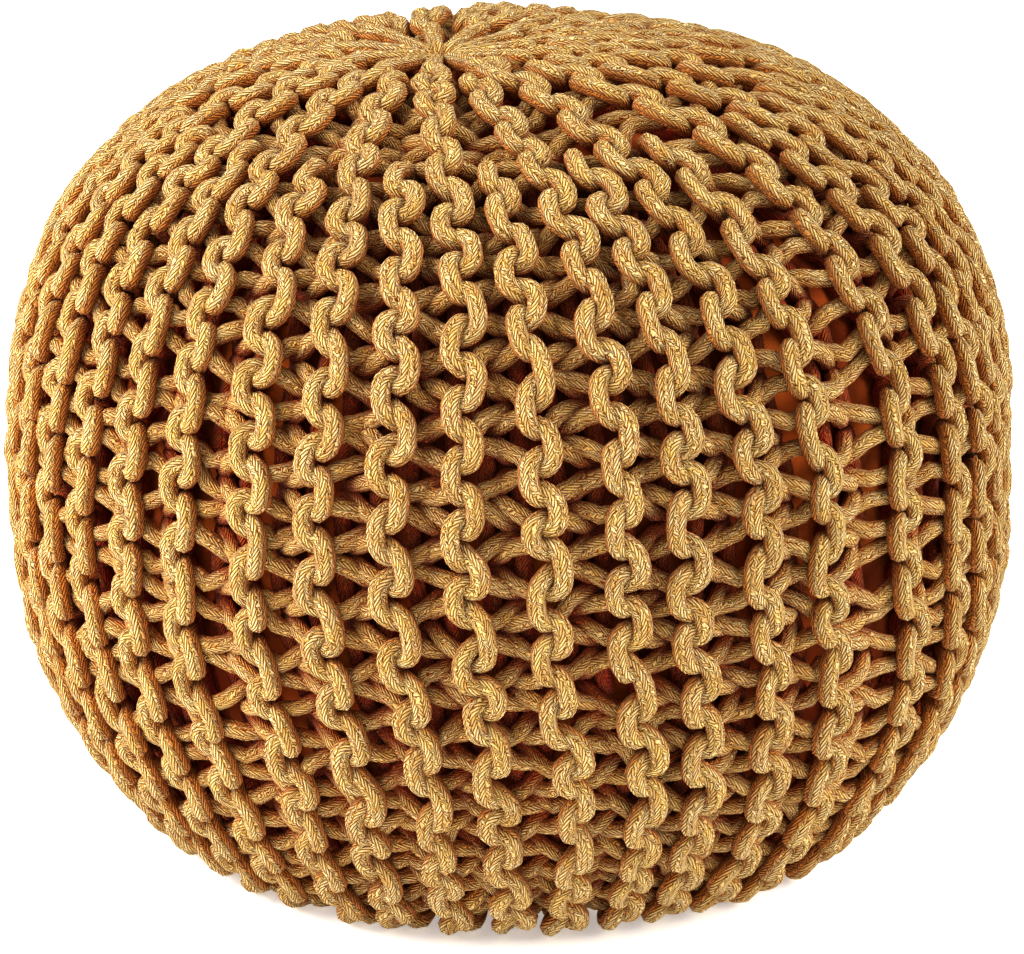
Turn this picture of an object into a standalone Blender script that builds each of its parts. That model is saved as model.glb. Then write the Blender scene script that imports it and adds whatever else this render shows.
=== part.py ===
"""A knitted pouf: a hollow cover of garter-stitch cord over a filled inner case.

Metres, +Z up. The origin is on the floor, under the middle of the pouf.
The ribs of the cover run from the gather on top down to the gather underneath.
Every other rib is a short one, and every fourth a little shorter than the long ones,
so that the ribs stay about as close together on the crown as on the side.
"""

import math

import bmesh
import bpy

# The whole pouf
WIDEST_RADIUS = 0.250
TOP_RISE = 0.231  # from the widest section up to the crown
FOOT_DROP = 0.162  # from the widest section down to the floor
BELLY_DROP = 0.237  # lower semi-axis of the side, which the floor cuts off
CROWN_POWER = 2.75  # above 2 the crown is flatter than an ellipse
FOOT_ROUND = 0.016  # radius between the side and the flat foot

# The gathers that close the two ends of the knitted tube
EYE_RADIUS = 0.008
GATHER_SLIDE = -0.034  # the upper gather sits this far off the middle, along X
DIMPLE_DEPTH = 0.005
DIMPLE_RADIUS = 0.030

# The knitted cover
RIBS = 44
COVER_THICKNESS = 0.026
VALLEY_DEPTH = 0.012
RIB_SECTION = (0.0, 0.35, 1.0, 0.35)  # share of the valley depth, crest to crest
RIB_STARTS = (0.0, 0.145, 0.070, 0.145)  # radius where each of four ribs begins on the crown
RIB_RISE = 0.030  # further out, a rib stands clear
GATHER_RISE = (0.018, 0.100)  # radii between which the ribs rise out of the gather
SIDE_ROWS = 21
LINING_ROWS = 15

# The inner case lies just inside the cover
CASE_GAP = 0.0004

# Fineness of the section before it is divided into rows
OUTLINE_STEPS = 60
ROUND_STEPS = 8
HALVINGS = 50


def smooth_step(value, low, high):
    """0 below low, 1 above high, and a smooth rise between."""
    share = min(max((value - low) / (high - low), 0.0), 1.0)
    return share * share * (3.0 - 2.0 * share)


def crown_height(radius, inset):
    """Height of the crown over the widest section, at this distance from the axis."""
    share = min(radius / (WIDEST_RADIUS - inset), 1.0)
    return (TOP_RISE - inset) * (1.0 - share**CROWN_POWER) ** (1.0 / CROWN_POWER)


def crown_points(inset):
    """Upper half of the section, from the gather to the widest point."""
    points = []
    for step in range(OUTLINE_STEPS + 1):
        turn = math.pi / 2 * step / OUTLINE_STEPS
        radius = (WIDEST_RADIUS - inset) * math.sin(turn) ** (2.0 / CROWN_POWER)
        points.append((radius, crown_height(radius, inset)))
    return [point for point in points if point[0] > EYE_RADIUS]


def belly_normal(turn, inset):
    """Outward direction of the lower side, as (radial, vertical)."""
    radial = math.cos(turn) / (WIDEST_RADIUS - inset)
    vertical = -math.sin(turn) / (BELLY_DROP - inset)
    length = math.hypot(radial, vertical)
    return radial / length, vertical / length


def round_height(turn, inset, corner):
    """How far a corner round that touches the side at this turn stays over the foot."""
    height = -(BELLY_DROP - inset) * math.sin(turn)
    return height - corner * belly_normal(turn, inset)[1] - (inset - FOOT_DROP + corner)


def belly_points(inset):
    """Lower half of the section: the side, the round over the floor and the foot's edge."""
    corner = FOOT_ROUND + 0.5 * inset
    low, high = 0.0, math.pi / 2
    for _ in range(HALVINGS):
        middle = (low + high) / 2
        if round_height(middle, inset, corner) > 0.0:
            low = middle
        else:
            high = middle
    points = []
    for step in range(1, OUTLINE_STEPS + 1):
        turn = low * step / OUTLINE_STEPS
        radius = (WIDEST_RADIUS - inset) * math.cos(turn)
        points.append((radius, -(BELLY_DROP - inset) * math.sin(turn)))
    radial, vertical = belly_normal(low, inset)
    centre = (points[-1][0] - corner * radial, points[-1][1] - corner * vertical)
    start = math.atan2(vertical, radial)
    for step in range(1, ROUND_STEPS + 1):
        angle = start + (-math.pi / 2 - start) * step / ROUND_STEPS
        x, z = corner * math.cos(angle), corner * math.sin(angle)
        points.append((centre[0] + x, centre[1] + z))
    return points


def even_rows(points, count):
    """Points at equal distances along the section, ends included, as (radius, height)."""
    reach = [0.0]
    for before, after in zip(points, points[1:]):
        reach.append(reach[-1] + math.dist(before, after))
    rows = []
    for row in range(count + 1):
        wanted = reach[-1] * row / count
        place = max(1, next(i for i, r in enumerate(reach) if r >= wanted - 1e-9))
        share = (wanted - reach[place - 1]) / (reach[place] - reach[place - 1])
        before, after = points[place - 1], points[place]
        rows.append(tuple(b + (a - b) * share for b, a in zip(before, after)))
    return rows


def section(inset, count):
    """The rows of one layer of the pouf, from its upper gather to its foot's edge."""
    edge_of_eye = (EYE_RADIUS, crown_height(EYE_RADIUS, inset))
    return even_rows([edge_of_eye, *crown_points(inset), *belly_points(inset)], count)


def outward(rows, row):
    """Outward direction of the section at this row, as (radial, vertical)."""
    before = rows[max(row - 1, 0)]
    after = rows[min(row + 1, len(rows) - 1)]
    radial, vertical = before[1] - after[1], after[0] - before[0]
    length = math.hypot(radial, vertical)
    return radial / length, vertical / length


def placed(radius, height, angle, inset):
    """A point of the section turned to its angle, with the upper gather drawn to one side."""
    x, y = radius * math.cos(angle), radius * math.sin(angle)
    if height > 0.0:
        share = radius / (WIDEST_RADIUS - inset)
        x += GATHER_SLIDE * (1.0 - share * share) ** 2
        drop = crown_height(radius, inset) - crown_height(math.hypot(x, y), inset)
        height -= drop + DIMPLE_DEPTH * math.exp(-((radius / DIMPLE_RADIUS) ** 2))
    return x, y, height + FOOT_DROP


def rib_share(radius, column):
    """How much of its height the rib at this column has on the crown, from 0 to 1."""
    rib = (column + 1) // len(RIB_SECTION) % RIBS
    start = RIB_STARTS[rib % len(RIB_STARTS)]
    return smooth_step(radius, start, start + RIB_RISE) if start else 1.0


def rib_depth(rows, row, column):
    """How far the cover's face lies below its crest line, between two ribs."""
    radius, height = rows[row]
    share = RIB_SECTION[column % len(RIB_SECTION)]
    if height > 0.0:
        share = 1.0 - (1.0 - share) * rib_share(radius, column)
        return VALLEY_DEPTH * share * smooth_step(radius, *GATHER_RISE)
    return VALLEY_DEPTH * share * smooth_step(height + FOOT_DROP, 0.0, 2.0 * FOOT_ROUND)


def ring(mesh, rows, row, columns, inset, ribbed=False):
    """One closed row of points around the pouf."""
    radius, height = rows[row]
    radial, vertical = outward(rows, row)
    points = []
    for column in range(columns):
        depth = rib_depth(rows, row, column) if ribbed else 0.0
        angle = 2.0 * math.pi * column / columns
        x, y, z = placed(radius - depth * radial, height, angle, inset)
        points.append(mesh.verts.new((x, y, z - depth * vertical)))
    return points


def eye_ring(mesh, height, middle):
    """The edge of a gather's eye, at this height."""
    points = []
    for column in range(RIBS):
        angle = 2.0 * math.pi * column / RIBS
        x = middle + EYE_RADIUS * math.cos(angle)
        points.append(mesh.verts.new((x, EYE_RADIUS * math.sin(angle), height)))
    return points


def band(mesh, first, second):
    """Faces between two rings. The first has as many points as the second, or a multiple."""
    each = len(first) // len(second)
    for column, corner in enumerate(second):
        following = second[(column + 1) % len(second)]
        steps = [first[(column * each + step) % len(first)] for step in range(each + 1)]
        mesh.faces.new((corner, steps[each // 2], following))
        for step in range(each):
            near = corner if step < each // 2 else following
            mesh.faces.new((near, steps[step], steps[step + 1]))


def bands(mesh, rings):
    """Faces along a row of rings."""
    for first, second in zip(rings, rings[1:]):
        band(mesh, first, second)


def finished(name, mesh, material):
    """Turns the points and faces into an object with its faces outwards."""
    bmesh.ops.recalc_face_normals(mesh, faces=mesh.faces)
    data = bpy.data.meshes.new(name)
    mesh.to_mesh(data)
    mesh.free()
    data.shade_smooth()
    data.materials.append(material)
    piece = bpy.data.objects.new(name, data)
    bpy.context.collection.objects.link(piece)
    return piece


def cloth(name, colour, roughness):
    """A matte textile finish."""
    material = bpy.data.materials.new(name)
    material.use_nodes = True
    shader = material.node_tree.nodes["Principled BSDF"]
    shader.inputs["Base Color"].default_value = (*colour, 1.0)
    shader.inputs["Roughness"].default_value = roughness
    shader.inputs["Metallic"].default_value = 0.0
    return material


def eye_place(inset):
    """Height of the upper gather's eye in one layer, over the floor."""
    return placed(EYE_RADIUS, crown_height(EYE_RADIUS, inset), math.pi / 2, inset)[2]


def knitted_cover(material):
    """The ribbed tube of knitting, drawn together at both ends around a small eye."""
    mesh = bmesh.new()
    face_rows = section(0.0, SIDE_ROWS)
    lining_rows = section(COVER_THICKNESS, LINING_ROWS)
    fine = RIBS * len(RIB_SECTION)
    face = [ring(mesh, face_rows, row, fine, 0.0, ribbed=True) for row in range(1, SIDE_ROWS + 1)]
    lining = [ring(mesh, lining_rows, row, RIBS, COVER_THICKNESS)
              for row in range(1, LINING_ROWS + 1)]
    top_eye = eye_ring(mesh, eye_place(0.0), GATHER_SLIDE)
    top_eye_inside = eye_ring(mesh, eye_place(COVER_THICKNESS), GATHER_SLIDE)
    foot_eye = eye_ring(mesh, 0.0, 0.0)
    foot_eye_inside = eye_ring(mesh, COVER_THICKNESS, 0.0)
    bands(mesh, face)
    band(mesh, face[0], top_eye)
    band(mesh, face[-1], foot_eye)
    bands(mesh, [foot_eye, foot_eye_inside, *reversed(lining), top_eye_inside, top_eye])
    return finished("knitted_cover", mesh, material)


def inner_case(material):
    """The stuffed case, which fills the cover and closes over both eyes."""
    mesh = bmesh.new()
    inset = COVER_THICKNESS + CASE_GAP
    rows = section(inset, LINING_ROWS)
    rings = [ring(mesh, rows, row, RIBS, inset) for row in range(1, LINING_ROWS + 1)]
    top_eye = eye_ring(mesh, eye_place(inset), GATHER_SLIDE)
    foot_eye = eye_ring(mesh, inset, 0.0)
    bands(mesh, [top_eye, *rings, foot_eye])
    mesh.faces.new(top_eye)
    mesh.faces.new(foot_eye)
    return finished("inner_case", mesh, material)


def clear_scene():
    for piece in list(bpy.data.objects):
        bpy.data.objects.remove(piece)


def main():
    clear_scene()
    knitted_cover(cloth("mustard cotton cord", (0.56, 0.33, 0.10), 0.9))
    inner_case(cloth("rust case cloth", (0.36, 0.12, 0.03), 0.85))


main()
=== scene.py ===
"""Looks of the knitted pouf: braided cotton cord in garter stitch round a stuffed case of rust cloth.

Metres, +Z up. The front of the pouf faces -Y.
"""

import math

import bpy
import numpy as np
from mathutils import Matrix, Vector


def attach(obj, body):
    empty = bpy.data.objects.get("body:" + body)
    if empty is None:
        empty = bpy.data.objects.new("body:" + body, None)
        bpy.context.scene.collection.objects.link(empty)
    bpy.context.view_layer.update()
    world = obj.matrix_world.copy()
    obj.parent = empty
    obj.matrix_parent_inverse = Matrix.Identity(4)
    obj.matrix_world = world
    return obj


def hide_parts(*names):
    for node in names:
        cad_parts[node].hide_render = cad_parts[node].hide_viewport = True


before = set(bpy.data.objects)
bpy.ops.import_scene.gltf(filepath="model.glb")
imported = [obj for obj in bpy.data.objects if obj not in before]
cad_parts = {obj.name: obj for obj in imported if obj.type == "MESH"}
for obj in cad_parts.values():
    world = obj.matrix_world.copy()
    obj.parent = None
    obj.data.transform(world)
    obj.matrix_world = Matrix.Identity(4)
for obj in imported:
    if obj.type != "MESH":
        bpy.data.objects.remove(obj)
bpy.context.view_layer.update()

# The outline of the pouf, as in its solids
WIDEST_RADIUS = 0.250
TOP_RISE = 0.231  # from the widest section up to the crown
FOOT_DROP = 0.162  # from the widest section down to the floor
BELLY_DROP = 0.237  # lower semi-axis of the side, which the floor cuts off
CROWN_POWER = 2.75  # above 2 the crown is flatter than an ellipse
FOOT_ROUND = 0.016  # radius between the side and the flat foot
EYE_RADIUS = 0.008
GATHER_SLIDE = -0.034  # the upper gather sits this far off the middle, along X
DIMPLE_DEPTH = 0.005
DIMPLE_RADIUS = 0.030
COVER_THICKNESS = 0.026
OUTLINE_STEPS = 400  # on the crown, and on the side
ROUND_STEPS = 40
FOOT_STEPS = 120

# The knitting. A course is one row of loops, from the upper gather down to the lower one,
# and two courses make a rib
RIBS = 44
COURSES = 2 * RIBS
STITCHES = 25
STITCH_LENGTH = 0.0298
SPACING = 2.0 * math.pi * WIDEST_RADIUS / COURSES  # between courses, at the widest
CORD = 0.0092  # diameter
CORD_SIDES = 8
ROUGH = 0.05  # share of its thickness that the cord's surface goes in and out
PRESSED = 0.0002  # the cord stays this far over the floor
COVER_PIECES = 6
SHADES = ("sunk", "inward")  # 0 at the face and outwards, 1 at the lining and inwards; they set the yarn's painted shade
SEED = 7
NEARLY = 1e-6  # stitches, so that the step at a cord's very end counts

# Half a loop, from the middle of its arc on the rib to the middle of its arc in the valley
# behind: stitches along, metres past the rib line, metres out of the fabric's middle, thickness
HALF_LOOP = (
    (0.000, -0.0055, 0.0086, 1.00),
    (0.110, -0.0054, 0.0086, 1.00),
    (0.200, -0.0047, 0.0082, 1.00),
    (0.272, -0.0032, 0.0074, 1.00),
    (0.325, -0.0008, 0.0058, 0.96),
    (0.345, 0.0020, 0.0032, 0.90),
    (0.338, 0.0052, 0.0016, 0.88),
    (0.305, 0.0088, 0.0013, 0.92),
    (0.250, 0.0130, -0.0002, 0.92),
    (0.182, 0.0172, -0.0026, 0.92),
    (0.105, 0.0212, -0.0056, 0.92),
    (0.065, 0.0245, -0.0080, 0.94),
    (0.140, 0.0262, -0.0085, 0.96),
    (0.260, 0.0266, -0.0086, 1.00),
    (0.380, 0.0266, -0.0086, 1.00),
    (0.500, 0.0266, -0.0086, 1.00),
)
ARC_OUT = HALF_LOOP[0][2]  # metres that the arcs on a rib stand out of the fabric's middle
CURVE_STEPS = 16  # from one of these points to the next
LOOP_STEPS = 30  # short stretches of cord in a loop
# They are shortest where the cord shows: share of the steps, and share of half a loop's length
FINER_IN_FRONT = ((0.0, 0.0), (0.48, 0.275), (0.84, 0.70), (1.0, 1.0))

# How crowded arcs give way
ARC_REACH = 0.0055  # metres that an arc stands past its line, on the rib
BACK_REACH = 0.0088  # and in the valley
ARC_OVERLAP = 0.0015  # metres that neighbouring arcs may press into each other
LEAST_ROOM = 0.12  # share of its reach that an arc keeps, however crowded it is
SHORTEST = 0.75  # share of its length that an arc would keep without any room
LEAST_RADIUS = 0.012  # inside this radius, arcs reach no further round the gather

# Short rows: the stitch where a rib starts, for ribs 0, 1, 2 and 3 of each four
STARTS = (0.0, 5.3, 2.2, 5.3)
WIDENS = (-1.1, 0.6)  # stitches from that start, between which a short rib gets its width
FIRST_ARC = -0.13  # stitches from the gather to the first arc
SLANT = 0.06  # arcs that point right sit this much lower than half way, in stitches

# How the ribs run
TURN = 0.049  # radians that they sit to the right of those of the solids
TWIST = 0.08  # radians from one gather to the other
TWIST_MIDDLE = 0.4  # share of the way down where the twist is nil
LOW_LEAN = 0.050  # radians that the lower half is turned further to the right
LOW_LEAN_OVER = (0.48, 0.64)  # share of the way down over which that turn comes in
SAG = 0.17  # stitches that the lower half hangs below even spacing
SAG_OVER = (0.40, 0.62)
# Where the ribs aren't evenly spaced: rib, counted from the front one, and degrees to the right
FRONT_RIB = 33
SHIFTS = ((-11, -0.5), (-5, -0.4), (-4, 1.1), (-3, 1.0), (-2, 1.1), (-1, 0.8), (0, 0.7), (1, 0.8),
          (2, -0.4), (4, -0.2), (5, 3.6), (6, 5.6), (8, 4.8), (12, 2.0), (22, 0.0), (33, -0.5))

# Hand knitting is never even: how much each thing changes at most, and the number of courses
# and of stitches from one chance value to the next
UNEVEN_REACH = ((0.27, 1, 0.9),)  # share of an arc's reach past its line
UNEVEN_ALONG = ((0.10, 5, 2), (0.14, 1, 0.8))  # stitches
UNEVEN_ACROSS = ((0.12, 5, 6), (0.18, 3, 1.5))  # courses
UNEVEN_OUT = ((0.0011, 5, 2), (0.0009, 2, 1))  # metres
UNEVEN_THICKNESS = ((0.055, 1, 0.7),)  # share of the thickness
# The legs, which nothing holds in the middle, also go their own way
LOOSE_OUT = ((0.0022, 1, 0.3),)
LOOSE_ALONG = ((0.12, 1, 0.3),)

# At a gather, each rib that reaches it is one straight cord, which dives into the eye
STRAIGHT = (0.9, 1.5)  # stitches over which the straight cord turns into loops
STRAIGHT_OUT = 0.0080  # metres out of the fabric's middle
DIVE = 0.014  # metres down into the eye
DIVE_LENGTH = 0.24  # stitches
PINCH = 0.0045  # metres that the cords are drawn closer than the eye's edge
PINCH_LENGTH = 0.020

# The stuffed case
CASE_INSET = 0.0245
CASE_ROWS = 72
CASE_COLUMNS = 132

# The braid: columns of slanting bundles of yarn, side by side round the cord
BUNDLE_LENGTH = 0.0024
BUNDLE_COLUMNS = 10.0
BUNDLE_SLOPE = 1.9  # bundle lengths that it slants by, from one side of its column to the other
BUNDLE_HEIGHT = 0.0014
BUNDLE_SINK = 0.5  # share of that height by which one bundle lies lower than another at most
FIBRE_HEIGHT = 0.35  # share of that height
BEND_ALONG = 1.9  # bundles, from one extreme of a bend to the other
BEND_ACROSS = 0.6  # columns, for each bundle of that
BLUNT_ENDS = 0.7  # the power that rounds a bundle along its length
BLUNT_SIDES = 0.35  # and from side to side

# Patterns on the cord and the case, as patches in a metre
DYE_PATCHES = 9.0
# Patches of the painted highlight on the yarn
HIGHLIGHT_PATCHES = 110.0
BENDS = 380.0
# Patches of the painted shade in the braid's creases
SHADE_PATCHES = 520.0
FIBRES = 1300.0
CLOTH_PATCHES = 14.0
CLOTH_CREASES = 60.0
CLOTH_THREADS = 700.0
MOST_VALUES = (0.35, 0.65)  # most of a pattern's values lie between these

# Colours of the yarn, in linear light
YARN = (0.78, 0.48, 0.075, 1.0)
BRIGHT_YARN = (0.86, 0.56, 0.105, 1.0)
# A painted highlight: paler yarn on the tops of the bundles, stronger in patches
PAINTED_HIGHLIGHT = (0.85, 0.69, 0.40, 1.0)
HIGHLIGHT_CREASE = (0.50, 0.12)  # crease values between which the painted highlight comes in, on top of a bundle
LEAST_HIGHLIGHT = 0.55  # share of that painted highlight which is there anyway
# What lies over it, one after another: what it follows, the two values of that between which
# it comes in, its share from there on, and its colour
OVER_YARN = (
    ("sunk", 0.16, 0.40, 0.30, (0.80, 0.42, 0.065, 1.0)),  # painted shade below the tops of the ribs
    ("inward", 0.16, 0.50, 0.85, (0.78, 0.27, 0.022, 1.0)),  # painted shade on the flanks of each cord that face inwards
    ("sunk", 0.42, 0.60, 1.00, (0.62, 0.12, 0.007, 1.0)),  # darker painted shade in the valleys
    ("sunk", 0.60, 0.78, 1.00, (0.72, 0.055, 0.002, 1.0)),  # darkest painted shade behind them
    ("tone", 0.45, 1.00, 0.45, (0.56, 0.24, 0.030, 1.0)),  # on the darker bundles
    ("fibre", 0.57, 0.70, 0.30, (0.94, 0.76, 0.45, 1.0)),  # pale fibres, partly real and partly a painted highlight where the fibre relief rises
    ("fibre", 0.43, 0.32, 0.45, (0.36, 0.14, 0.015, 1.0)),  # and painted shade in the low places between them
)
SHADE_CREASE = (0.36, 0.70)  # crease values between which painted shade comes in between two bundles
SHADE_PATCH_VALUES = (0.36, 0.54)  # and values of the pattern that spreads that painted shade in patches
LEAST_SHADE = 0.35  # share of that painted shade which is there anyway
# Painted shade in the creases between bundles, darker where the cord lies deep
CREASE_SHADE = (0.24, 0.060, 0.006, 1.0)
DEEP_CREASE_SHADE = (0.34, 0.03, 0.001, 1.0)
DEEP_CREASE_SHADE_OVER = (0.1, 0.4)  # values of sunk between which the darker painted shade takes over

# Colours and relief of the case
CLOTH = (0.46, 0.075, 0.004, 1.0)
PALER_CLOTH = (0.66, 0.19, 0.018, 1.0)
CLOTH_VALUES = (0.3, 0.7)
CLOTH_THREAD = (0.12, 0.012, 0.001, 1.0)
THREAD_SHARE = 0.4
THREAD_FINER = (1.0, 1.0, 4.0)  # how much finer the threads are along each axis
THREAD_HEIGHT = 0.1  # share of a crease's height
CREASE_FINER = (1.0, 1.0, 0.35)
CREASE_HEIGHT = 0.0045
CREASE_STRENGTH = 0.6

# The studio
ROOM_LIGHT = 0.65
FLOOR_SIZE = 60.0
FLOOR_GLOW = 0.45
SOFTBOX_PLACE = (-1.1, -0.5, 0.95)
SOFTBOX_SIZE = 1.0
SOFTBOX_POWER = 27.5
FILL_PLACE = (1.4, -0.25, 1.1)
FILL_SPREAD = math.radians(40.0)
FILL_POWER = 3.1
LIT_PLACE = (0.0, 0.0, 0.2)
GAMMA = 0.72

# The photograph's view, straight from the front
CAMERA_DISTANCE = 2.0
CAMERA_UP = math.radians(20.0)
CAMERA_TARGET = (0.001, 0.0, FOOT_DROP + 0.0055)
LENS = 140.3  # mm, on the sensor below
SENSOR_WIDTH = 36.0


def smooth_step(value, low, high):
    """0 up to low, 1 from high on, and a smooth rise between. Low may be the larger one."""
    share = np.clip((value - low) / (high - low), 0.0, 1.0)
    return share * share * (3.0 - 2.0 * share)


def unit(vectors):
    return vectors / np.linalg.norm(vectors, axis=-1, keepdims=True)


def distances(points):
    """Distance of each point from the first one, along the line through them."""
    steps = np.linalg.norm(np.diff(points, axis=0), axis=1)
    return np.concatenate([[0.0], np.cumsum(steps)])


def crown_height(radius, inset):
    """Height of the crown over the widest section, at this distance from the axis."""
    share = np.minimum(radius / (WIDEST_RADIUS - inset), 1.0)
    return (TOP_RISE - inset) * (1.0 - share**CROWN_POWER) ** (1.0 / CROWN_POWER)


def outline(inset):
    """One layer's section, from the upper gather to the lower one, as (radius, height)."""
    turn = np.linspace(0.0, math.pi / 2, OUTLINE_STEPS)
    wide = WIDEST_RADIUS - inset
    low = BELLY_DROP - inset
    crown_radius = wide * np.sin(turn) ** (2.0 / CROWN_POWER)
    crown = np.stack([crown_radius, crown_height(crown_radius, inset)], -1)
    side = np.stack([wide * np.cos(turn), -low * np.sin(turn)], -1)
    normal = unit(np.stack([np.cos(turn) / wide, -np.sin(turn) / low], -1))
    corner = FOOT_ROUND + 0.5 * inset
    centres = side - corner * normal
    last = int(np.argmax(centres[:, 1] < inset - FOOT_DROP + corner))
    swing = np.linspace(math.atan2(normal[last, 1], normal[last, 0]), -math.pi / 2, ROUND_STEPS)
    edge = centres[last] + corner * np.stack([np.cos(swing), np.sin(swing)], -1)
    foot_radius = np.linspace(edge[-1, 0], EYE_RADIUS, FOOT_STEPS)[1:]
    foot = np.stack([foot_radius, np.full(len(foot_radius), edge[-1, 1])], -1)
    return np.concatenate([crown[crown_radius > EYE_RADIUS], side[1:last], edge, foot])


def layer(inset, share, angle):
    """Places on one layer. share runs from the upper gather, 0, to the lower one, 1."""
    section = outline(inset)
    reach = distances(section)
    radius = np.interp(share * reach[-1], reach, section[:, 0])
    height = np.interp(share * reach[-1], reach, section[:, 1])
    upper = height > 0.0
    pinch = PINCH * (1.0 - smooth_step(radius, EYE_RADIUS, EYE_RADIUS + PINCH_LENGTH))
    x = (radius - pinch) * np.cos(angle)
    y = (radius - pinch) * np.sin(angle)
    inner = radius / (WIDEST_RADIUS - inset)
    x = x + np.where(upper, GATHER_SLIDE * (1.0 - inner**2) ** 2, 0.0)
    drop = crown_height(radius, inset) - crown_height(np.hypot(x, y), inset)
    drop += DIMPLE_DEPTH * np.exp(-((radius / DIMPLE_RADIUS) ** 2))
    height = height - np.where(upper, drop, 0.0) + FOOT_DROP
    return np.stack([x, y, height], -1)


def radius_at(stitch):
    """Distance from the axis in the middle of the fabric, at these places along."""
    section = outline(0.5 * COVER_THICKNESS)
    reach = distances(section)
    return np.interp(stitch / STITCHES * reach[-1], reach, section[:, 0])


def chance_wave(rng, course, stitch, most, courses, stitches):
    """Smooth chance values from -most to most over the knitting, closed round the pouf.

    courses and stitches tell how far apart the chance values are that it runs through.
    """
    columns = max(1, round(COURSES / courses))
    rows = int(STITCHES / stitches) + 3
    grid = rng.uniform(-1.0, 1.0, (columns, rows))
    x = (course / COURSES * columns) % columns
    y = np.clip(stitch / stitches + 1.0, 0.0, rows - 1.001)  # stays before the last row
    column = np.floor(x).astype(int) % columns
    row = np.floor(y).astype(int)
    x_share = smooth_step(x - np.floor(x), 0.0, 1.0)
    y_share = smooth_step(y - row, 0.0, 1.0)
    after = (column + 1) % columns
    near = grid[column, row] * (1.0 - x_share) + grid[after, row] * x_share
    far = grid[column, row + 1] * (1.0 - x_share) + grid[after, row + 1] * x_share
    return most * (near * (1.0 - y_share) + far * y_share)


def uneven(rng, course, stitch, waves):
    """The sum of chance waves, drawn one after another."""
    return sum(chance_wave(rng, course, stitch, *wave) for wave in waves)


def smooth_curve(points, steps):
    """A smooth curve through the points, but for the first and the last, which lead into it."""
    before, start, end, after = points[:-3], points[1:-2], points[2:-1], points[3:]
    share = (np.arange(steps) / steps)[:, None, None]
    bend = 2.0 * before - 5.0 * start + 4.0 * end - after
    turn = 3.0 * (start - end) + after - before
    curve = start + 0.5 * share * (end - before + share * (bend + share * turn))
    curve = curve.transpose(1, 0, 2).reshape(-1, points.shape[1])
    return np.concatenate([curve, end[-1:]])


def loop_shape():
    """One loop, step by step: stitches along, past the rib line, out, thickness and turn."""
    half = np.array(HALF_LOOP)
    back = half[-2:0:-1] * (-1.0, 1.0, 1.0, 1.0) + (1.0, 0.0, 0.0, 0.0)
    loop = np.concatenate([half, back])
    after = np.array((1.0, 0.0, 0.0, 0.0))
    curve = smooth_curve(np.concatenate([loop[-1:] - after, loop, loop[:2] + after]), CURVE_STEPS)
    reach = distances(curve[:, :3] * (STITCH_LENGTH, 1.0, 1.0))
    turn = np.arange(LOOP_STEPS) / LOOP_STEPS
    steps, lengths = np.array(FINER_IN_FRONT).T
    share = 0.5 * np.interp(2.0 * np.minimum(turn, 1.0 - turn), steps, lengths)
    places = np.where(turn > 0.5, 1.0 - share, share) * reach[-1]
    return np.stack([np.interp(places, reach, way) for way in curve.T] + [turn], -1)


def course_shapes():
    """The loops of a whole course: one that opens its rib, and its mirror image, which closes it."""
    opening = loop_shape()
    half = LOOP_STEPS // 2
    moved = np.array((0.5, 0.0, 0.0, 0.0, 0.5))
    closing = np.concatenate([opening[half:] - moved, opening[:half] + moved])
    closing[:, 1] = SPACING - closing[:, 1]
    shapes = []
    for loop in (opening, closing):
        loops = [loop + (n, 0.0, 0.0, 0.0, n) for n in range(STITCHES)]
        shapes.append(np.concatenate(loops + [loops[0][:1] + (STITCHES, 0.0, 0.0, 0.0, STITCHES)]))
    return np.array(shapes)


def start_of(course):
    """The stitch where a course starts."""
    rib = (course + 1) // 2 % RIBS
    return STARTS[rib % len(STARTS)]


def first_turn(course):
    """Where a course's cord begins, at the back of the fabric, where its end doesn't show."""
    if course % 2 == 0 and start_of(course) == 0.0:
        return 0.0
    back = 0.5 if course % 2 == 0 else 0.0
    return math.floor(max(start_of(course), 1.0) - back) + back


def rib_lines(stitch):
    """Angles of the lines between the courses, at these places along."""
    near = np.minimum(stitch, STITCHES - stitch)
    widths = []
    for course in range(COURSES):
        start = start_of(course)
        width = smooth_step(near, start + WIDENS[0], start + WIDENS[1])
        widths.append(width if start else np.ones(len(stitch)))
    lines = np.concatenate([np.zeros((1, len(stitch))), np.cumsum(widths, axis=0)])
    return 2.0 * math.pi * lines / lines[-1]


def shift_of(rib):
    """How far a rib sits from its even place, as an angle."""
    ribs, degrees = np.array(SHIFTS).T
    from_front = (rib - FRONT_RIB - ribs[0]) % RIBS + ribs[0]
    return np.radians(np.interp(from_front, ribs, degrees))


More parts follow.
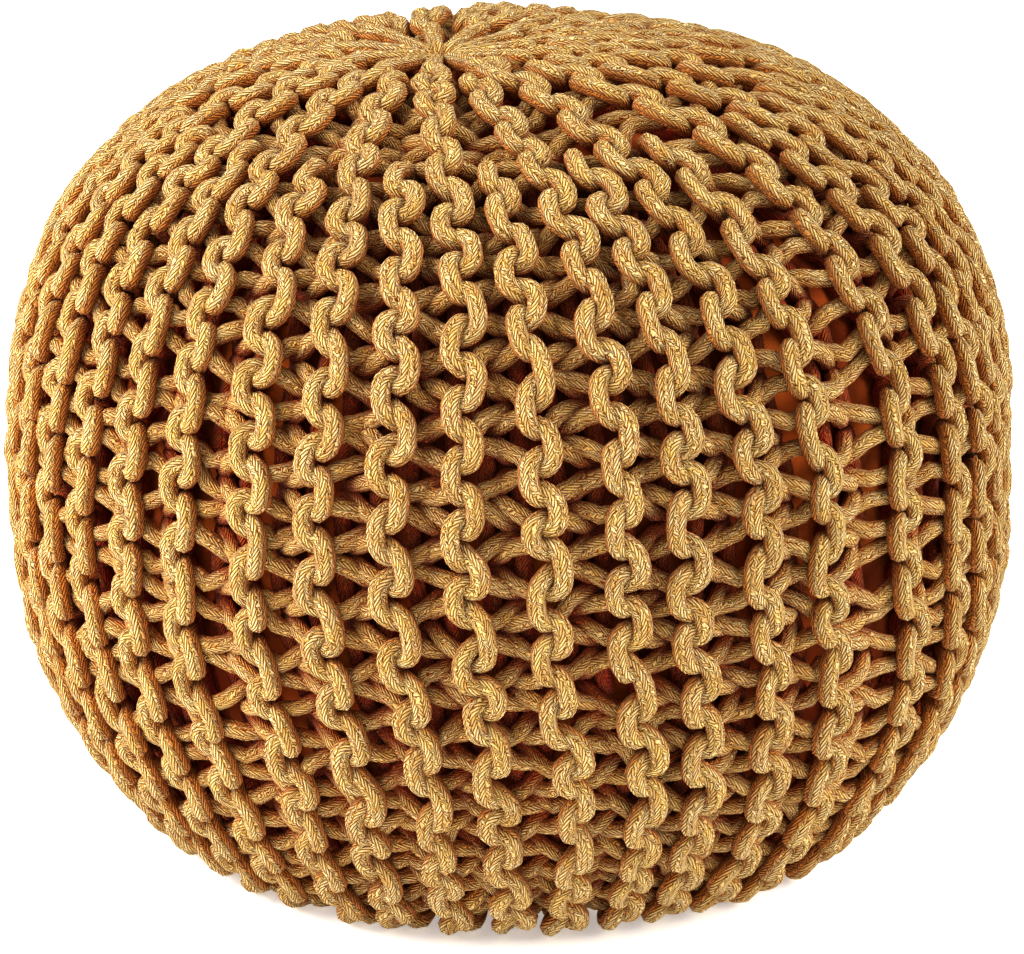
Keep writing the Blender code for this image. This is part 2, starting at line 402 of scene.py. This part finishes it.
class Courses:
    """The cords of all the courses, as arrays with a row for each course, step by step along it."""

    def __init__(self):
        """Even loops first, which are then laid round the pouf, loosened and gathered."""
        self.rng = np.random.default_rng(SEED)
        course = np.arange(COURSES)
        flat, past, out, thick, turn = np.moveaxis(course_shapes()[course % 2], -1, 0)
        self.flat = flat  # stitches along, while the loops lie flat and even
        self.past = past  # metres past the line before the course
        self.out = out  # metres out of the fabric's middle
        self.thick = thick  # share of the cord's diameter
        self.turn = turn  # loops since the upper gather
        self.course = np.broadcast_to(course[:, None], turn.shape)
        self.opens = self.course % 2 == 0
        self.first = past < 0.5 * SPACING  # nearer to the line before than to the line after
        self.line = self.course + np.where(self.first, 0, 1)
        self.lines = rib_lines(turn[0])  # one row more, as there is a line on both sides
        self.angle, room = self.across()
        self.along = self.down(room)
        self.drift = self.loosen()
        self.gather()

    def across(self):
        """The angle of each place, and the room for each arc as a share of its reach."""
        radius = np.maximum(radius_at(self.turn[0]), LEAST_RADIUS)
        width = np.diff(self.lines, axis=0) * radius
        beside = np.where(self.first, np.roll(width, 1, axis=0), np.roll(width, -1, axis=0))
        reach = np.where(self.first == self.opens, ARC_REACH, BACK_REACH)
        room = np.clip((width + beside - CORD + ARC_OVERLAP) / 2.0 / reach, LEAST_ROOM, 1.0)
        into = np.where(self.first, self.past, SPACING - self.past)
        spread = 1.0 + uneven(self.rng, self.line, self.flat, UNEVEN_REACH)
        into = np.where(into < 0.0, into * room * spread, into / SPACING * width)
        line = np.where(self.first, self.lines[:-1], self.lines[1:])
        return line + np.where(self.first, into, -into) / radius, room

    def down(self, room):
        """How far down each place is, in stitches. Arcs without room are shorter."""
        middle = np.where(self.first, np.round(self.turn), np.floor(self.turn) + 0.5)
        along = middle + (self.flat - middle) * (SHORTEST + (1.0 - SHORTEST) * room)
        raised = np.clip(self.out / ARC_OUT, 0.0, 1.0)
        return along + FIRST_ARC + SLANT * np.where(self.opens, 0.0, raised)

    def loosen(self):
        """Makes the loops uneven and lets them sag. Gives how far they drift across, in courses."""
        self.along = self.along + uneven(self.rng, self.line, self.along, UNEVEN_ALONG)
        self.along = self.along + SAG * smooth_step(self.along / STITCHES, *SAG_OVER)
        drift = uneven(self.rng, self.line, self.along, UNEVEN_ACROSS)
        self.out = self.out + uneven(self.rng, self.line, self.along, UNEVEN_OUT)
        loose = smooth_step(np.abs(self.out), ARC_OUT, 0.0)
        self.out = self.out + loose * uneven(self.rng, self.course, self.turn, LOOSE_OUT)
        self.along = self.along + loose * uneven(self.rng, self.course, self.turn, LOOSE_ALONG)
        self.thick = self.thick * (1.0 + uneven(self.rng, self.course, self.along, UNEVEN_THICKNESS))
        return drift

    def gather(self):
        """Draws the cords straight into the eyes of the gathers."""
        near = np.minimum(self.turn, STITCHES - self.turn)
        loops = smooth_step(near, *STRAIGHT)
        rib_line = np.where(self.opens, self.lines[:-1], self.lines[1:])
        self.angle = rib_line + (self.angle - rib_line) * loops
        self.along = self.turn + (self.along - self.turn) * loops
        self.out = STRAIGHT_OUT + (self.out - STRAIGHT_OUT) * loops
        self.out = self.out - DIVE * (1.0 - smooth_step(near, 0.0, DIVE_LENGTH)) ** 2

    def places(self):
        """The middle lines of the cords, the face's direction there, and how deep they lie."""
        share = np.clip(self.along / STITCHES, 0.0, 1.0)
        lean = TURN + TWIST * (share - TWIST_MIDDLE) + LOW_LEAN * smooth_step(share, *LOW_LEAN_OVER)
        angle = self.angle + lean + self.drift * 2.0 * math.pi / COURSES
        angle = angle + shift_of(self.line / 2.0)
        face = layer(0.0, share, angle)
        lining = layer(COVER_THICKNESS, share, angle)
        depth = 0.5 - self.out / COVER_THICKNESS
        return face + (lining - face) * depth[..., None], unit(face - lining), depth


def cord_rings(places, outward, thick, depth):
    """Rings of points round every cord, how deep each lies and how far it faces inwards, which set the
    painted shade.
    """
    along = unit(np.gradient(places, axis=1))
    up = np.empty_like(places)
    carried = outward[:, 0]
    for step in range(places.shape[1]):
        ahead = along[:, step]
        carried = unit(carried - (carried * ahead).sum(-1, keepdims=True) * ahead)
        up[:, step] = carried
    beside = np.cross(along, up)
    turn = 2.0 * math.pi * np.arange(CORD_SIDES) / CORD_SIDES
    ring = np.cos(turn)[:, None] * up[:, :, None] + np.sin(turn)[:, None] * beside[:, :, None]
    rough = 1.0 + ROUGH * np.random.default_rng(SEED).uniform(-1.0, 1.0, ring.shape[:-1])
    offset = 0.5 * CORD * (thick[:, :, None] * rough)[..., None] * ring
    points = places[:, :, None] + offset
    points[..., 2] = np.maximum(points[..., 2], PRESSED)
    sunk = depth[..., None] - (offset * outward[:, :, None]).sum(-1) / COVER_THICKNESS
    inward = 0.5 - 0.5 * (ring * outward[:, :, None]).sum(-1)
    return points, np.stack([sunk, inward])


def cord_faces(index, places):
    """One cord's faces, with its two ends closed: their corners, sizes and places on the UV map."""
    before, after = index[:-1], index[1:]
    quads = np.stack([before, np.roll(before, -1, 1), np.roll(after, -1, 1), after], -1)
    length = distances(places)
    near = np.broadcast_to(length[:-1, None], before.shape)
    far = np.broadcast_to(length[1:, None], before.shape)
    left = np.broadcast_to(np.arange(CORD_SIDES) / CORD_SIDES, before.shape)
    right = left + 1.0 / CORD_SIDES
    u = np.stack([near, near, far, far], -1).ravel()
    v = np.stack([left, right, right, left], -1).ravel()
    corners = np.concatenate([quads.ravel(), index[0, ::-1], index[-1]])
    sizes = np.concatenate([np.full(before.size, 4), np.full(2, CORD_SIDES)])
    uvs = np.concatenate([np.stack([u, v], -1), np.zeros((2 * CORD_SIDES, 2))])
    return corners, sizes, uvs


def cord_mesh(name, cords):
    """One mesh of several cords. Its UV map runs in metres along each cord, and once around it."""
    points = np.concatenate([rings.reshape(-1, 3) for rings, _, _ in cords])
    shades = np.concatenate([shade.reshape(len(SHADES), -1) for _, _, shade in cords], axis=1)
    faces = []
    count = 0
    for rings, places, _ in cords:
        index = count + np.arange(len(rings) * CORD_SIDES).reshape(-1, CORD_SIDES)
        faces.append(cord_faces(index, places))
        count += index.size
    corners, sizes, uvs = [np.concatenate(part) for part in zip(*faces)]
    starts = np.concatenate([[0], np.cumsum(sizes)[:-1]])
    mesh = bpy.data.meshes.new(name)
    mesh.vertices.add(count)
    mesh.vertices.foreach_set("co", points.astype(np.float32).ravel())
    mesh.loops.add(len(corners))
    mesh.loops.foreach_set("vertex_index", corners.astype(np.int32))
    mesh.polygons.add(len(sizes))
    mesh.polygons.foreach_set("loop_start", starts.astype(np.int32))
    mesh.update(calc_edges=True)
    mesh.uv_layers.new(name="cord")
    mesh.uv_layers["cord"].data.foreach_set("uv", uvs.astype(np.float32).ravel())
    for label, values in zip(SHADES, shades):
        attribute = mesh.attributes.new(label, "FLOAT", "POINT")
        attribute.data.foreach_set("value", values.astype(np.float32))
    mesh.shade_smooth()
    mesh.validate()
    return mesh


def add_piece(name, mesh, material, node):
    """Puts a mesh into the scene in place of a node of the solids."""
    mesh.materials.append(material)
    piece = bpy.data.objects.new(name, mesh)
    bpy.context.scene.collection.objects.link(piece)
    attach(piece, "root")
    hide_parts(node)
    return piece


def knitted_cover(material):
    """All the courses, in a few pieces side by side round the pouf."""
    knitting = Courses()
    places, outward, depth = knitting.places()
    rings, shades = cord_rings(places, outward, knitting.thick, depth)
    for number, courses in enumerate(np.array_split(np.arange(COURSES), COVER_PIECES)):
        cords = []
        for course in courses:
            begin = first_turn(course) - NEARLY
            turn = knitting.turn[course]
            used = (turn > begin) & (turn < STITCHES - begin)
            cords.append((rings[course, used], places[course, used], shades[:, course, used]))
        name = f"garter_rows_{number + 1}"
        add_piece(name, cord_mesh(name, cords), material, "knitted_cover")


def stuffed_case(material):
    """The case full of beads, which shows through the gaps of the knitting."""
    share = np.linspace(0.0, 1.0, CASE_ROWS)[:, None] + np.zeros((1, CASE_COLUMNS))
    turn = np.linspace(0.0, 2.0 * math.pi, CASE_COLUMNS, endpoint=False)
    angle = turn[None, :] + np.zeros((CASE_ROWS, 1))
    points = layer(CASE_INSET, share, angle)
    index = np.arange(CASE_ROWS * CASE_COLUMNS).reshape(CASE_ROWS, CASE_COLUMNS)
    beside = np.roll(index, -1, 1)
    quads = np.stack([index[:-1], index[1:], beside[1:], beside[:-1]], -1).reshape(-1, 4)
    faces = quads.tolist() + [index[0].tolist(), index[-1, ::-1].tolist()]
    mesh = bpy.data.meshes.new("stuffed_case")
    mesh.from_pydata(points.reshape(-1, 3).tolist(), [], faces)
    mesh.shade_smooth()
    piece = add_piece("stuffed_case", mesh, material, "inner_case")


class Tree:
    """Places nodes in one material or group, with short calls."""

    def __init__(self, tree):
        self.tree = tree

    def put(self, socket, value):
        """Joins another node's output to a socket, or sets the socket's own value."""
        if isinstance(value, bpy.types.NodeSocket):
            self.tree.links.new(value, socket)
        else:
            socket.default_value = value

    def place(self):
        """Where a point of the surface is, in metres."""
        return self.tree.nodes.new("ShaderNodeTexCoord").outputs["Object"]

    def calc(self, operation, *values):
        node = self.tree.nodes.new("ShaderNodeMath")
        node.operation = operation
        for socket, value in zip(node.inputs, values):
            self.put(socket, value)
        return node.outputs[0]

    def hill(self, share, power):
        """0 at both ends of a share and 1 in its middle. A small power makes it blunt."""
        height = self.calc("MULTIPLY", share, self.calc("SUBTRACT", 1.0, share))
        return self.calc("POWER", self.calc("MULTIPLY", height, 4.0), power)

    def between(self, value, low, high, start=0.0, end=1.0):
        """start up to low, end from high on, and a smooth change between."""
        node = self.tree.nodes.new("ShaderNodeMapRange")
        node.interpolation_type = "SMOOTHSTEP"
        for name, given in (("Value", value), ("From Min", low), ("From Max", high),
                            ("To Min", start), ("To Max", end)):
            self.put(node.inputs[name], given)
        return node.outputs["Result"]

    def mix(self, share, first, second):
        node = self.tree.nodes.new("ShaderNodeMix")
        node.data_type = "RGBA"
        for place, value in ((0, share), (6, first), (7, second)):
            self.put(node.inputs[place], value)
        return node.outputs[2]

    def noise(self, vector, scale, detail=2.0, roughness=0.5):
        node = self.tree.nodes.new("ShaderNodeTexNoise")
        self.put(node.inputs["Vector"], vector)
        node.inputs["Scale"].default_value = scale
        node.inputs["Detail"].default_value = detail
        node.inputs["Roughness"].default_value = roughness
        return node.outputs["Fac"]

    def scaled(self, vector, scale):
        node = self.tree.nodes.new("ShaderNodeVectorMath")
        node.operation = "MULTIPLY"
        self.put(node.inputs[0], vector)
        node.inputs[1].default_value = scale
        return node.outputs[0]

    def chance(self, x, y):
        """A chance value from 0 to 1 for each pair of whole numbers."""
        pair = self.tree.nodes.new("ShaderNodeCombineXYZ")
        self.put(pair.inputs["X"], x)
        self.put(pair.inputs["Y"], y)
        node = self.tree.nodes.new("ShaderNodeTexWhiteNoise")
        node.noise_dimensions = "2D"
        self.put(node.inputs["Vector"], pair.outputs[0])
        return node.outputs["Value"]

    def attribute(self, label):
        node = self.tree.nodes.new("ShaderNodeAttribute")
        node.attribute_name = label
        return node.outputs["Fac"]

    def bump(self, height, distance, strength):
        node = self.tree.nodes.new("ShaderNodeBump")
        self.put(node.inputs["Height"], height)
        node.inputs["Distance"].default_value = distance
        node.inputs["Strength"].default_value = strength
        return node.outputs["Normal"]


def new_group(name, inputs, outputs):
    """An empty shader node group, with its own input and output sockets."""
    group = bpy.data.node_groups.new(name, "ShaderNodeTree")
    for label in inputs:
        group.interface.new_socket(label, in_out="INPUT", socket_type="NodeSocketFloat")
    for label in outputs:
        group.interface.new_socket(label, in_out="OUTPUT", socket_type="NodeSocketFloat")
    given = group.nodes.new("NodeGroupInput").outputs
    result = group.nodes.new("NodeGroupOutput").inputs
    return group, given, result


def braid_group():
    """Plaited bundles of yarn on a cord: height, the creases between them, and a tone each."""
    inputs = ("Along", "Around", "Bundle", "Columns", "Slope", "Bend")
    group, given, result = new_group("braided cord", inputs, ("Height", "Crease", "Tone"))
    tree = Tree(group)
    # the column, which slants one way where it is odd and the other way where it is even
    rows = tree.calc("MULTIPLY", given["Around"], given["Columns"])
    rows = tree.calc("ADD", rows, tree.calc("MULTIPLY", given["Bend"], BEND_ACROSS))
    column = tree.calc("FLOORED_MODULO", tree.calc("FLOOR", rows), given["Columns"])
    across = tree.calc("FRACT", rows)
    odd = tree.calc("MODULO", column, 2.0)
    side = tree.calc("SUBTRACT", tree.calc("MULTIPLY", odd, 2.0), 1.0)
    slant = tree.calc("MULTIPLY", side, tree.calc("SUBTRACT", across, 0.5))
    slant = tree.calc("MULTIPLY", slant, given["Slope"])
    # the bundle in it, which lies half a bundle further in odd columns
    count = tree.calc("DIVIDE", given["Along"], given["Bundle"])
    count = tree.calc("ADD", count, given["Bend"])
    phase = tree.calc("ADD", tree.calc("ADD", count, slant), tree.calc("MULTIPLY", odd, 0.5))
    ridge = tree.hill(tree.calc("FRACT", phase), BLUNT_ENDS)
    round_top = tree.calc("MULTIPLY", ridge, tree.hill(across, BLUNT_SIDES))
    tone = tree.chance(tree.calc("FLOOR", phase), column)
    depth = tree.calc("MULTIPLY", tree.calc("SUBTRACT", tone, 0.5), BUNDLE_SINK)
    tree.put(result["Height"], tree.calc("ADD", round_top, depth))
    tree.put(result["Crease"], tree.calc("SUBTRACT", 1.0, round_top))
    tree.put(result["Tone"], tone)
    return group


def braid_on_cord(tree, place):
    """The braid, laid along and around the cord by its UV map and bent a little by chance."""
    nodes = tree.tree.nodes
    uv = nodes.new("ShaderNodeUVMap")
    uv.uv_map = "cord"
    split = nodes.new("ShaderNodeSeparateXYZ")
    tree.put(split.inputs[0], uv.outputs["UV"])
    bend = tree.calc("SUBTRACT", tree.noise(place, BENDS), 0.5)
    braid = nodes.new("ShaderNodeGroup")
    braid.node_tree = braid_group()
    for name, value in (("Along", split.outputs["X"]), ("Around", split.outputs["Y"]),
                        ("Bundle", BUNDLE_LENGTH), ("Columns", BUNDLE_COLUMNS),
                        ("Slope", BUNDLE_SLOPE), ("Bend", tree.calc("MULTIPLY", bend, BEND_ALONG))):
        tree.put(braid.inputs[name], value)
    return braid.outputs


def new_material(name, roughness, sheen):
    """A matte textile finish, with a soft sheen and little shine."""
    material = bpy.data.materials.new(name)
    material.use_nodes = True
    shader = material.node_tree.nodes["Principled BSDF"]
    shader.inputs["Roughness"].default_value = roughness
    shader.inputs["Sheen Weight"].default_value = sheen
    shader.inputs["Sheen Roughness"].default_value = 0.5
    shader.inputs["Specular IOR Level"].default_value = 0.25
    return material, shader, Tree(material.node_tree)


def cotton_cord():
    """Mustard cotton yarn, plaited into a cord, a little paler and darker from place to place, with a
    painted highlight on the bundles' tops and painted shade in their creases, on the cords' inward
    flanks and deeper in the fabric.
    """
    material, shader, tree = new_material("mustard cotton cord", 0.9, 0.15)
    place = tree.place()
    braid = braid_on_cord(tree, place)
    follows = {label: tree.attribute(label) for label in SHADES}
    follows["tone"] = braid["Tone"]
    follows["fibre"] = tree.noise(place, FIBRES, 3.0, 0.7)

    patch = tree.between(tree.noise(place, DYE_PATCHES), *MOST_VALUES)
    yarn = tree.mix(patch, YARN, BRIGHT_YARN)
    # Painted highlight: paler yarn on the tops of the bundles, in patches
    highlight_patch = tree.between(tree.noise(place, HIGHLIGHT_PATCHES), *MOST_VALUES, LEAST_HIGHLIGHT, 1.0)
    highlight = tree.calc("MULTIPLY", tree.between(braid["Crease"], *HIGHLIGHT_CREASE), highlight_patch)
    yarn = tree.mix(highlight, yarn, PAINTED_HIGHLIGHT)
    # Painted shade by depth and by the side a cord faces, then random bundle tones and the fibres
    for label, low, high, most, colour in OVER_YARN:
        yarn = tree.mix(tree.between(follows[label], low, high, 0.0, most), yarn, colour)

    # Painted shade in the creases between the bundles, in patches, darker where the cord lies deep
    shade_patch = tree.between(tree.noise(place, SHADE_PATCHES, 1.0), *SHADE_PATCH_VALUES, LEAST_SHADE, 1.0)
    crease_shade_share = tree.calc("MULTIPLY", tree.between(braid["Crease"], *SHADE_CREASE), shade_patch)
    crease_shade_colour = tree.mix(tree.between(follows["sunk"], *DEEP_CREASE_SHADE_OVER), CREASE_SHADE, DEEP_CREASE_SHADE)
    tree.put(shader.inputs["Base Color"], tree.mix(crease_shade_share, yarn, crease_shade_colour))

    fibres = tree.calc("MULTIPLY", follows["fibre"], FIBRE_HEIGHT)
    height = tree.calc("ADD", braid["Height"], fibres)
    tree.put(shader.inputs["Normal"], tree.bump(height, BUNDLE_HEIGHT, 1.0))
    return material


def case_cloth():
    """Closely woven rust cotton, pulled tight over the filling, with a few soft creases."""
    material, shader, tree = new_material("rust case cloth", 0.85, 0.1)
    place = tree.place()
    patch = tree.between(tree.noise(place, CLOTH_PATCHES, 3.0), *CLOTH_VALUES)
    thread = tree.noise(tree.scaled(place, THREAD_FINER), CLOTH_THREADS)
    crease = tree.noise(tree.scaled(place, CREASE_FINER), CLOTH_CREASES, 2.0, 0.55)
    colour = tree.mix(patch, CLOTH, PALER_CLOTH)
    colour = tree.mix(tree.calc("MULTIPLY", thread, THREAD_SHARE), colour, CLOTH_THREAD)
    tree.put(shader.inputs["Base Color"], colour)
    height = tree.calc("ADD", crease, tree.calc("MULTIPLY", thread, THREAD_HEIGHT))
    tree.put(shader.inputs["Normal"], tree.bump(height, CREASE_HEIGHT, CREASE_STRENGTH))
    return material


def aim(item, target):
    """Turns a lamp or the camera towards a place."""
    way = Vector(target) - item.location
    item.rotation_euler = way.to_track_quat("-Z", "Y").to_euler()


def add_floor():
    """A white floor that glows a little, so that it comes out as white as the room."""
    bpy.ops.mesh.primitive_plane_add(size=FLOOR_SIZE, location=(0.0, 0.0, 0.0))
    floor = bpy.context.object
    floor.name = "studio_floor"
    material, shader, _ = new_material("pale floor", 0.95, 0.0)
    shader.inputs["Base Color"].default_value = (0.92, 0.92, 0.92, 1.0)
    shader.inputs["Emission Color"].default_value = (1.0, 1.0, 1.0, 1.0)
    shader.inputs["Emission Strength"].default_value = FLOOR_GLOW
    floor.data.materials.append(material)


def add_lamp(name, kind, strength, place):
    """A lamp that shines on the pouf."""
    light = bpy.data.lights.new(name, kind)
    light.energy = strength
    lamp = bpy.data.objects.new(name, light)
    lamp.location = place
    bpy.context.scene.collection.objects.link(lamp)
    aim(lamp, LIT_PLACE)
    return light


def add_light():
    """A bright white room, a large soft lamp at the pouf's left and wide soft light from its right."""
    scene = bpy.context.scene
    room = bpy.data.worlds.new("white room")
    scene.world = room
    room.use_nodes = True
    background = room.node_tree.nodes["Background"]
    background.inputs["Color"].default_value = (1.0, 1.0, 1.0, 1.0)
    background.inputs["Strength"].default_value = ROOM_LIGHT
    add_lamp("softbox", "AREA", SOFTBOX_POWER, SOFTBOX_PLACE).size = SOFTBOX_SIZE
    add_lamp("fill", "SUN", FILL_POWER, FILL_PLACE).angle = FILL_SPREAD
    scene.view_settings.view_transform = "Standard"
    scene.view_settings.gamma = GAMMA


def add_camera():
    data = bpy.data.cameras.new("camera")
    data.sensor_width = SENSOR_WIDTH
    data.lens = LENS
    camera = bpy.data.objects.new("camera", data)
    back = CAMERA_DISTANCE * math.cos(CAMERA_UP)
    rise = CAMERA_DISTANCE * math.sin(CAMERA_UP)
    camera.location = (0.0, -back, FOOT_DROP + rise)
    bpy.context.scene.collection.objects.link(camera)
    bpy.context.scene.camera = camera
    aim(camera, CAMERA_TARGET)


def main():
    knitted_cover(cotton_cord())
    stuffed_case(case_cloth())
    add_floor()
    add_light()
    add_camera()


main()
